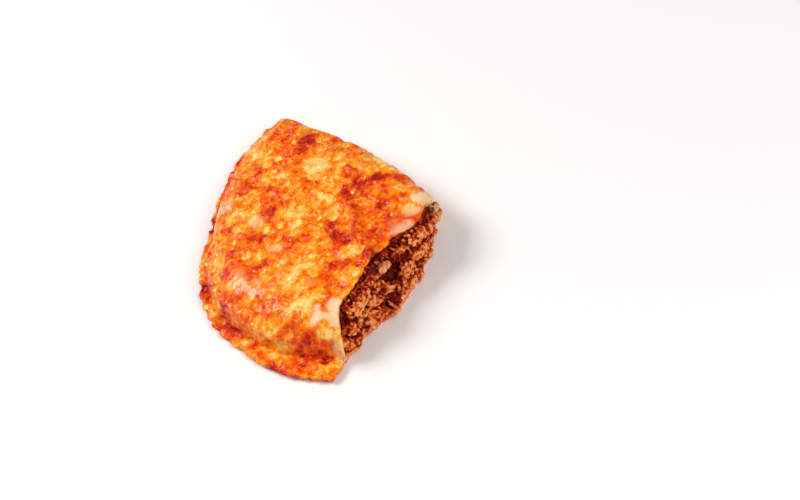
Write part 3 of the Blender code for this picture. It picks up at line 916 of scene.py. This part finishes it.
# Shreds of meat lie in layers across the deepest gap: start and end of each
SHREDS = np.array((
    ((-58, -15, 20.8), (-47.5, -14.6, 18.2)), ((-58.5, -16.8, 18.6), (-48, -16.6, 15.6)),
    ((-56, -18.4, 15.8), (-46, -17.6, 12.4)), ((-50, -19, 11.6), (-40.5, -17.6, 9.6)),
    ((-46, -13.6, 19.6), (-38, -13, 16.8)),
))
SHRED_GRAINS = 16


def share_of(points, balls):
    """1 inside the nearest of the balls, falling to 0 outside it."""
    away = np.linalg.norm(points[:, None, :] - balls[None, :, :3], axis=2) / balls[:, 3]
    return smooth(1.7 - away.min(axis=1))


placed = np.concatenate([KNOB, ONIONS])
clumps = np.concatenate([clumps, placed[:, :3]])
radius = np.concatenate([radius, 0.8 * placed[:, 3]])
shape = np.concatenate([shape, np.array([(1.5, 0.9, 0.6)] * len(placed))])
along_shred = np.linspace(0, 1, SHRED_GRAINS)[None, :, None]
shreds = mix(SHREDS[:, None, 0], SHREDS[:, None, 1], along_shred)
shreds = shreds + draw.normal(0.0, 0.32, shreds.shape) * np.array((1.0, 1.0, 0.7))
shreds[:, :, 2] += 0.9 * np.sin(np.pi * along_shred[:, :, 0])
shreds = shreds.reshape(-1, 3)
shred_sizes = draw.uniform(0.75, 1.15, (len(shreds), 3))
print(len(placed), "clumps placed by hand, and", len(SHREDS), "shreds")

# %% Grains on the clumps
# Grains sit on the front and top of each clump, one ball fills its middle, and a layer of
# balls behind closes the wall
GRAINS = 64
GRAIN_RADIUS = (0.5, 1.05)
BACKING = 420
facing = draw.normal(size=(len(clumps), GRAINS, 3)) + np.array((0.0, -0.8, 0.35))
facing /= np.linalg.norm(facing, axis=2, keepdims=True)
extent = radius[:, None] * shape
reach = extent[:, None, :] * draw.uniform(0.78, 1.04, (len(clumps), GRAINS, 1))
grains = (clumps[:, None, :] + facing * reach).reshape(-1, 3)
grain_sizes = draw.uniform(*GRAIN_RADIUS, (len(grains), 1)) * draw.uniform(0.6, 1.3, (len(grains), 3))
back_part = draw.uniform(0.01, 0.99, BACKING)
back, back_tall = on_face(back_part, draw.uniform(0.0, 1.0, BACKING))
back[:, 1] += 0.6
back_sizes = np.minimum(2.3, 0.22 * back_tall + 0.6)[:, None] * draw.uniform(0.7, 1.1, (BACKING, 3))
middles = np.concatenate([clumps, grains, shreds, back])
lump_sizes = np.concatenate([0.82 * extent, grain_sizes, shred_sizes, back_sizes])
lump_points, lump_faces = lumps(middles, lump_sizes, 131, 2, 0.45)
print(len(middles), "lumps")

# %% Fusing and roughening
VOXEL = 0.36


def fuse(name, points, faces):
    """One skin round all the lumps: a voxel remesh, applied."""
    item = build(name, points, [faces])
    remesh = item.modifiers.new("fuse", "REMESH")
    remesh.mode = "VOXEL"
    remesh.voxel_size = VOXEL * MM
    scene_now = bpy.context.evaluated_depsgraph_get()
    fused = bpy.data.meshes.new_from_object(item.evaluated_get(scene_now))
    item.modifiers.clear()
    item.data = fused
    return item


def vertices_of(item):
    """Vertex places and normals as arrays, in the pie's millimetres."""
    count = len(item.data.vertices)
    places = np.empty(count * 3)
    item.data.vertices.foreach_get("co", places)
    facing = np.empty(count * 3, dtype=np.float32)
    item.data.vertex_normals.foreach_get("vector", facing)
    return places.reshape(-1, 3) / MM - CORNER, facing.reshape(-1, 3).astype(float)


def move_to(item, places):
    """Put the vertices of a mesh at places in the pie's millimetres."""
    item.data.vertices.foreach_set("co", ((places + CORNER) * MM).ravel())
    item.data.update()
    return places


def roughen(item, size, depth, salt):
    """Push every vertex along its normal by layered noise."""
    places, facing = vertices_of(item)
    return move_to(item, places + facing * (depth * rough(places, size, salt))[:, None])


def settle(item, places, height):
    """Press what hangs below a height most of the way back up to it."""
    places[:, 2] += 0.8 * np.maximum(height - places[:, 2], 0.0)
    return move_to(item, places)


mince = fuse("mince_crumbs", lump_points, lump_faces)
roughen(mince, 1.6, 0.36, 141)
places = settle(mince, roughen(mince, 0.8, 0.3, 144), 0.4)
print("crumbs from", places.min(axis=0).round(1), "to", places.max(axis=0).round(1))

# %% Gaps and crowns, for painted shade and painted highlight in the material
GAP_COLUMN = 1.6
CROWN_ROUNDS = 14


def gap_depth(places, cell):
    """How far a point lies behind the foremost point of its own and the next small columns."""
    key = np.floor(places[:, [0, 2]] / cell).astype(int)
    key -= key.min(axis=0)
    front = np.full(key.max(axis=0) + 3, 1e3)
    for step in np.ndindex(3, 3):
        np.minimum.at(front, (key[:, 0] + step[0], key[:, 1] + step[1]), places[:, 1])
    return places[:, 1] - front[key[:, 0] + 1, key[:, 1] + 1]


def crown(item, rounds):
    """How far each vertex stands out along its normal from its own smoothed neighbourhood.

    Each round replaces every place by the mean of its neighbours' places.
    """
    places, facing = vertices_of(item)
    count = len(item.data.edges)
    ends = np.empty(count * 2, dtype=np.int32)
    item.data.edges.foreach_get("vertices", ends)
    here = np.concatenate([ends[0::2], ends[1::2]])
    there = np.concatenate([ends[1::2], ends[0::2]])
    total = np.maximum(np.bincount(here, minlength=len(places)), 1)[:, None]
    soft = places.copy()
    for _ in range(rounds):
        sums = [np.bincount(here, soft[there, k], len(places)) for k in range(3)]
        soft = np.stack(sums, axis=1) / total
    return ((places - soft) * facing).sum(axis=1)


depth = gap_depth(places, GAP_COLUMN)
standing = crown(mince, CROWN_ROUNDS)
forms = gaps_and_heads(places)
print("crumbs stand", standing.min().round(2), "to", standing.max().round(2), "mm off their neighbours")
# The gap number darkens crumbs that lie back, and the listed gaps of the wall: painted shade.  The crown
# number lightens crumbs that stand out, and the listed heads: painted highlight.
paint(mince, {
    "gap": smooth(depth / 4.5) + 0.3 * np.maximum(forms, 0.0),
    "crown": 0.5 + 1.3 * standing - 0.5 * np.minimum(forms, 0.0),
    "fat": np.maximum(0.9 * share_of(places, KNOB), 0.7 * share_of(places, ONIONS)),
})
close(mince, turn_out=False)

# %% [markdown]
# ## Shader maths as plain expressions
# A material is a graph of nodes.  Wiring each by hand hides the formula, so one small class
# stands for a socket and turns + - * into Math nodes, and one method adds any other node.

# %% Signal and Finish


class Signal:
    """One output socket.  Arithmetic on it adds Math nodes and gives a new signal."""

    def __init__(self, finish, socket):
        self.finish = finish
        self.socket = socket

    def math(self, operation, first, second):
        """A Math node of two numbers or signals."""
        return self.finish.add("ShaderNodeMath", {"operation": operation}, {0: first, 1: second})

    def __add__(self, other):
        return self.math("ADD", self, other)

    __radd__ = __add__

    def __sub__(self, other):
        return self.math("SUBTRACT", self, other)

    def __rsub__(self, other):
        return self.math("SUBTRACT", other, self)

    def __mul__(self, other):
        return self.math("MULTIPLY", self, other)

    __rmul__ = __mul__

    def held(self):
        """The signal kept between 0 and 1."""
        return self.finish.add("ShaderNodeClamp", {}, {"Value": self})


class Finish:
    """A material with one Principled shader and short ways to add to it."""

    def __init__(self, name):
        self.material = bpy.data.materials.new(name)
        self.material.use_nodes = True
        self.tree = self.material.node_tree
        self.shader = self.tree.nodes["Principled BSDF"]

    def add(self, kind, settings=None, inputs=None, output=0):
        """Any node: its settings first, then a value or a signal for each named input."""
        node = self.tree.nodes.new(kind)
        for name, value in (settings or {}).items():
            if name == "stops":
                self.set_stops(node.color_ramp, value)
            else:
                setattr(node, name, value)
        for name, value in (inputs or {}).items():
            self.feed(node.inputs[name], value)
        return Signal(self, node.outputs[output])

    def set_stops(self, ramp, stops):
        """Place and colour of each stop of a ramp."""
        while len(ramp.elements) < len(stops):
            ramp.elements.new(1.0)
        for element, (place, colour) in zip(ramp.elements, stops):
            element.position = place
            element.color = (*colour, 1.0)

    def feed(self, socket, value):
        """Link a signal, or set a plain value."""
        if isinstance(value, Signal):
            self.tree.links.new(value.socket, socket)
        else:
            socket.default_value = value

    def place(self):
        """The point in the object's own metres."""
        return self.add("ShaderNodeTexCoord", output="Object")

    def layer(self, name):
        """A number painted on the vertices."""
        return self.add("ShaderNodeAttribute", {"attribute_name": name}, output="Fac")

    def noise(self, size, detail=3.0, roughness=0.55):
        """Noise whose lumps are about the given millimetres across."""
        values = {"Vector": self.place(), "Scale": 1.0 / (size * MM), "Detail": detail}
        values["Roughness"] = roughness
        return self.add("ShaderNodeTexNoise", {}, values, "Fac")

    def cells(self, size):
        """Distance to the nearest of points scattered about the given millimetres apart."""
        values = {"Vector": self.place(), "Scale": 1.0 / (size * MM)}
        return self.add("ShaderNodeTexVoronoi", {}, values, "Distance")

    def ramp(self, signal, stops):
        """Colour read from a row of stops."""
        return self.add("ShaderNodeValToRGB", {"stops": stops}, {"Fac": signal}, "Color")

    def blend(self, part, first, second):
        """Colour between two colours."""
        values = {0: part, 6: as_colour(first), 7: as_colour(second)}
        return self.add("ShaderNodeMix", {"data_type": "RGBA"}, values, 2)

    def bump(self, height, depth):
        """Normal tilted by a height, whose full range is the given millimetres deep."""
        return self.add("ShaderNodeBump", {}, {"Height": height, "Distance": depth * MM}, "Normal")

    def set(self, **values):
        """Sockets of the shader by name, with _ for a space."""
        for name, value in values.items():
            self.feed(self.shader.inputs[name.replace("_", " ")], as_colour(value))


def as_colour(value):
    """Three numbers get a fourth, 1; anything else stays as it is."""
    return (*value, 1.0) if isinstance(value, tuple) and len(value) == 3 else value


print("a colour for a socket:", as_colour((1.0, 0.5, 0.0)))

# %% [markdown]
# ## Fried dough
# Oil makes the crust glossy over colours that run from raw cream through gold and orange to
# dark red.  One ramp holds that run, and one number, how well done, picks from it; the lighter
# bead tops in that number are partly painted highlight.

# %% Fried dough
fried = Finish("fried_dough")
browned_here = fried.layer("browned")
calm_here = fried.layer("calm")
pale_and_reflection_here = fried.layer("pale")
mottle = fried.noise(3.0, 2.0, 0.5)
speck = fried.noise(0.9, 2.0, 0.5)
spacing = fried.cells(1.9)
crowded = (fried.noise(8.0, 2.0, 0.5) - 0.45) * 5.0 + browned_here * 0.7
crowd = (crowded - calm_here - pale_and_reflection_here).held()
bead_here = (1 - spacing * spacing * 2.6).held() * crowd
spotted = (mottle - 0.5) * 0.9 + (speck - 0.5) * 0.6
# Bead centres from the cells and the bead tops in the painted number are lighter: partly the golden
# colour of blisters, partly painted highlight.
done_and_highlight_here = fried.layer("done") + spotted - bead_here * 0.26 + crowd * 0.08
skin_colour = fried.ramp(done_and_highlight_here.held(), (
    (0.00, (1.00, 0.66, 0.200)),
    (0.14, (1.00, 0.46, 0.036)),
    (0.32, (0.98, 0.27, 0.002)),
    (0.50, (0.94, 0.136, 0.000)),
    (0.68, (0.80, 0.053, 0.000)),
    (0.84, (0.57, 0.018, 0.000)),
    (1.00, (0.40, 0.008, 0.000)),
))
# The pale share blends in the colour of raw dough: the real inside of the sheet at the tear and the
# corner, and a pinkish painted reflection on smooth skin.
raw_edge = ((pale_and_reflection_here - 0.45) * 1.5 + 0.33 + (mottle - 0.5) * 0.9 + (speck - 0.5) * 0.3).held()
dough_colour = fried.blend((speck * 1.6 - 0.4).held(), (0.97, 0.56, 0.26), (0.97, 0.78, 0.52))
fine = fried.noise(0.7, 3.0, 0.55)
beaded = fine * (0.25 + browned_here * 0.3) + bead_here * 0.35
fried.set(
    Base_Color=fried.blend(raw_edge, skin_colour, dough_colour),
    Roughness=(0.28 + pale_and_reflection_here * 0.25 + (speck - 0.5) * 0.2),
    Normal=fried.bump(beaded, 0.75),
    Coat_Weight=(0.25 + calm_here * 0.4 - pale_and_reflection_here * 0.22).held(),
    Coat_Roughness=0.12,
    Specular_IOR_Level=0.15,
)
crust.data.materials.append(fried.material)
print("fried dough has", len(fried.tree.nodes), "nodes")

# %% [markdown]
# ## Cooked mince
# Cooked mince is brown in random patches; its tops are painted tan as highlight and its gaps deep
# red-brown as painted shade.

# %% Cooked mince
meat = Finish("minced_meat")
gap_shade_here = meat.layer("gap")
pale_tint_here = meat.layer("fat")
crown_highlight_here = meat.layer("crown")
grainy = meat.noise(1.0, 4.0, 0.62)
patchy = meat.noise(4.5, 2.0, 0.5)
speckled = (grainy - 0.5) + (patchy - 0.5) * 1.2
# Painted light and tone: crowns lighter as painted highlight, gaps darker as painted shade, and noise for
# the random tone of the meat.
painted_light_and_tone = 0.25 + crown_highlight_here * 0.9 - gap_shade_here * 0.65 + speckled
meat_colour = meat.ramp(painted_light_and_tone.held(), (
    (0.00, (0.110, 0.001, 0.000)),
    (0.26, (0.300, 0.014, 0.000)),
    (0.50, (0.560, 0.060, 0.001)),
    (0.76, (0.800, 0.160, 0.022)),
    (1.00, (1.000, 0.390, 0.140)),
))
# The pale tint is scaled by the painted light, so it fades in the painted shade of the gaps.
pale_tint_by_painted_light = (pale_tint_here * (0.05 + painted_light_and_tone * 0.9)).held()
meat.set(
    Base_Color=meat.blend(pale_tint_by_painted_light, meat_colour, (0.90, 0.50, 0.22)),
    Roughness=(0.45 + (grainy - 0.5) * 0.4),
    Normal=meat.bump(grainy * 0.6 + meat.noise(0.45, 3.0, 0.65) * 0.4, 0.8),
    Coat_Weight=0.07,
    Coat_Roughness=0.2,
    Specular_IOR_Level=0.08,
)
for piece in (mince, loaf):
    piece.data.materials.append(meat.material)
print("cooked mince has", len(meat.tree.nodes), "nodes")

# %% [markdown]
# ## Putting the pieces in place
# The skin stands for the solid crust, the loaf for the solid filling, and the crumbs ride
# along with them.

# %% Riding and replacing
pieces = (
    (crust, "crust", "fried_dough"),
    (loaf, "filling", "minced_meat"),
    (mince, "filling", "minced_meat"),
)
for piece, node, slot in pieces:
    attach(piece, "root")
    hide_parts(node)
print("pieces:", [piece.name for piece, _, _ in pieces])

# %% [markdown]
# ## Floor, light and camera
# A pale floor and large soft lights, one behind on the left for the oily gleam and one in
# front for the meat.  The camera looks down on the pie over its torn corner, rolled a little.
# Lengths here are in metres.

# %% Floor and light
FLOOR_HALF = 3.0
floor_mesh = bpy.data.meshes.new("floor")
corners = [(x * FLOOR_HALF, y * FLOOR_HALF, 0.0) for x, y in ((-1, -1), (1, -1), (1, 1), (-1, 1))]
floor_mesh.from_pydata(corners, [], [(0, 1, 2, 3)])
floor = bpy.data.objects.new("floor", floor_mesh)
bpy.context.scene.collection.objects.link(floor)
paper = Finish("pale_floor")
paper.set(Base_Color=(0.96, 0.96, 0.955), Roughness=0.9, Specular_IOR_Level=0.0)
floor_mesh.materials.append(paper.material)


def towards(azimuth, elevation):
    """Unit direction from the pie: degrees round it from -Y, and degrees up."""
    turn = math.radians(azimuth)
    rise = math.radians(elevation)
    return Vector((math.sin(turn) * math.cos(rise), -math.cos(turn) * math.cos(rise), math.sin(rise)))


def soft_light(name, azimuth, elevation, distance, size, watts, colour):
    """A square area light that looks at the pie from a direction."""
    lamp = bpy.data.lights.new(name, "AREA")
    lamp.shape = "SQUARE"
    lamp.size = size
    lamp.energy = watts
    lamp.color = colour
    item = bpy.data.objects.new(name, lamp)
    item.location = towards(azimuth, elevation) * distance
    item.rotation_euler = item.location.to_track_quat("Z", "Y").to_euler()
    bpy.context.scene.collection.objects.link(item)


soft_light("key", 212.0, 47.0, 1.1, 0.55, 9.4, (1.0, 0.97, 0.94))
soft_light("fill", 15.0, 42.0, 1.2, 0.6, 8.0, (1.0, 0.98, 0.95))
world = bpy.data.worlds.new("studio")
world.use_nodes = True
background = world.node_tree.nodes["Background"]
background.inputs["Color"].default_value = (1.0, 1.0, 1.0, 1.0)
background.inputs["Strength"].default_value = 0.20
bpy.context.scene.world = world
bpy.context.scene.view_settings.view_transform = "Standard"
print("floor,", len(bpy.data.lights), "soft lights and a dim white world")

# %% Camera
CAMERA_AZIMUTH = -28.0
CAMERA_ELEVATION = 46.0
CAMERA_ROLL = math.radians(20.0)
CAMERA_DISTANCE = 0.859
LOOK_AT = Vector((0.0052, -0.0069, 0.0))
ASIDE = 0.0382
lens = bpy.data.cameras.new("camera")
lens.lens = 85.0
lens.sensor_width = 36.0
camera = bpy.data.objects.new("camera", lens)
bpy.context.scene.collection.objects.link(camera)
view = towards(CAMERA_AZIMUTH, CAMERA_ELEVATION)
right = towards(CAMERA_AZIMUTH + 90.0, 0.0)
rolled = math.cos(CAMERA_ROLL) * right - math.sin(CAMERA_ROLL) * view.cross(right)
turned = Matrix((rolled, view.cross(rolled), view)).transposed().to_4x4()
place = LOOK_AT + CAMERA_DISTANCE * view + ASIDE * rolled
camera.matrix_world = Matrix.Translation(place) @ turned
bpy.context.scene.camera = camera
print("camera at", [round(v, 3) for v in place])
